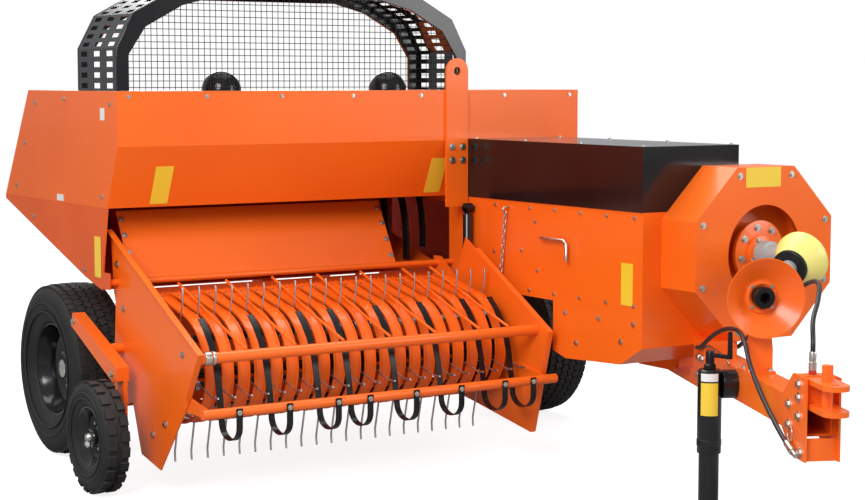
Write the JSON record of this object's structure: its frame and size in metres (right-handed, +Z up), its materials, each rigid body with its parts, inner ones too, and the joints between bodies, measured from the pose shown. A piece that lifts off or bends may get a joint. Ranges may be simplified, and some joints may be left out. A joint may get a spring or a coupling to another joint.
{
  "type": "square baler",
  "caption": "Towed small square baler with a side pickup, cross feeder housing, bale chamber, flywheel driveline, angled drawbar with jack and transport wheels.",
  "frame": {"origin": "on the ground, under the middle of the machine's bounding box", "axes": "+Z up; the machine travels towards -Y; its left side, where the bale chamber is, is towards +X and its pickup towards -X"},
  "size_m": [2.722, 5.559, 2.0603],
  "materials": {
    "orange_paint": "gloss",
    "black_paint": "gloss",
    "rubber": "matt",
    "galvanised_steel": "galvanised",
    "grey_paint": "satin",
    "cast_iron": "rough",
    "yellow_plastic": "satin"
  },
  "bodies": {
    "chassis": {"arch_guard": "black_paint", "axle_beam": "orange_paint", "bale_chamber": "orange_paint", "crank_box": "orange_paint", "drawbar_beam": "orange_paint", "drawbar_hose": "rubber", "drawbar_saddle": "orange_paint", "drive_hood": "black_paint", "feeder_apron": "orange_paint", "feeder_housing": "orange_paint", "feeder_trough": "orange_paint", "flywheel_guard": "orange_paint", "funnel_stand": "orange_paint", "gearbox": "cast_iron", "guard_mesh": "black_paint", "hitch_clevis": "orange_paint", "hitch_head": "orange_paint", "jack_crank": "black_paint", "jack_tube": "black_paint", "left_axle": "orange_paint", "left_chute_hinge": "orange_paint", "left_dome": "black_paint", "lift_cylinder": "black_paint", "lift_hose": "rubber", "lifting_ear": "orange_paint", "needle_yoke": "orange_paint", "packer_fork": "black_paint", "pickup_pivot": "galvanised_steel", "right_axle": "orange_paint", "right_chute_hinge": "orange_paint", "right_dome": "black_paint", "shaft_funnel": "orange_paint", "shaft_guard_cone": "yellow_plastic", "shaft_guard_ring": "black_paint", "tension_frame": "black_paint"},
    "flywheel": {"flywheel": "orange_paint", "drive_stub": "galvanised_steel"},
    "half_shaft": {"half_shaft": "grey_paint"},
    "input_shaft": {"input_shaft": "black_paint"},
    "left_wheel": {"left_wheel_tyre": "rubber", "left_wheel_rim": "black_paint"},
    "right_wheel": {"right_wheel_tyre": "rubber", "right_wheel_rim": "black_paint"},
    "gauge_wheel": {"gauge_wheel_tyre": "rubber", "gauge_wheel_rim": "black_paint"},
    "pickup": {"pickup_left_plate": "orange_paint", "pickup_right_plate": "orange_paint", "pickup_frame": "orange_paint", "strap_bar": "black_paint", "gauge_arm": "orange_paint"},
    "reel": {"pickup_reel": "galvanised_steel"},
    "windguard": {"windguard": "orange_paint"},
    "jack_leg": {"jack_leg": "black_paint"},
    "lift_rod": {"lift_rod": "galvanised_steel"},
    "rear_lid": {"rear_lid": "orange_paint"},
    "chute": {"bale_chute": "orange_paint"}
  },
  "joints": [
    {"name": "left_wheel_spin", "type": "hinge", "parent": "chassis", "child": "left_wheel", "pos_m": [1.229, 0.4139, 0.38], "axis": [1, 0, 0], "continuous": true},
    {"name": "right_wheel_spin", "type": "hinge", "parent": "chassis", "child": "right_wheel", "pos_m": [-1.071, 0.6639, 0.38], "axis": [1, 0, 0], "continuous": true},
    {"name": "pickup_lift", "type": "hinge", "parent": "chassis", "child": "pickup", "pos_m": [0.779, 0.0239, 0.825], "axis": [-1, 0, 0], "range_deg": [0, 14]},
    {"name": "gauge_wheel_spin", "type": "hinge", "parent": "pickup", "child": "gauge_wheel", "pos_m": [-1.306, -0.1811, 0.23], "axis": [1, 0, 0], "continuous": true},
    {"name": "reel_spin", "type": "hinge", "parent": "pickup", "child": "reel", "pos_m": [0.779, -0.3661, 0.479], "axis": [1, 0, 0], "continuous": true},
    {"name": "windguard_lift", "type": "hinge", "parent": "pickup", "child": "windguard", "pos_m": [0.779, -0.7461, 0.6], "axis": [1, 0, 0], "range_deg": [0, 45]},
    {"name": "flywheel_spin", "type": "hinge", "parent": "chassis", "child": "flywheel", "pos_m": [0.986, -1.4218, 0.967], "axis": [0, -1, 0], "continuous": true},
    {"name": "half_shaft_spin", "type": "hinge", "parent": "chassis", "child": "half_shaft", "pos_m": [0.986, -1.8011, 0.967], "axis": [-0.9075, -0.3209, -0.2711], "continuous": true},
    {"name": "input_shaft_spin", "type": "hinge", "parent": "chassis", "child": "input_shaft", "pos_m": [0.5616, -2.05407, 0.857], "axis": [-0.4163, -0.9092, 0], "continuous": true},
    {"name": "jack_slide", "type": "slide", "parent": "chassis", "child": "jack_leg", "axis": [0, 0, 1], "range_m": [0, 0.22]},
    {"name": "lift_rod_slide", "type": "slide", "parent": "chassis", "child": "lift_rod", "axis": [0, 0, 1], "range_m": [0, 0.046]},
    {"name": "rear_lid_open", "type": "hinge", "parent": "chassis", "child": "rear_lid", "pos_m": [0.779, 0.91741, 1.59128], "axis": [1, 0, 0], "range_deg": [0, 70]},
    {"name": "chute_fold", "type": "hinge", "parent": "chassis", "child": "chute", "pos_m": [0.779, 2.2049, 0.734], "axis": [1, 0, 0], "range_deg": [0, 80]}
  ],
  "couplings": [
    {"joint": "half_shaft_spin", "follows": "flywheel_spin", "ratio": 1},
    {"joint": "input_shaft_spin", "follows": "flywheel_spin", "ratio": 1},
    {"joint": "lift_rod_slide", "follows": "pickup_lift", "m_per_rad": 0.186}
  ]
}
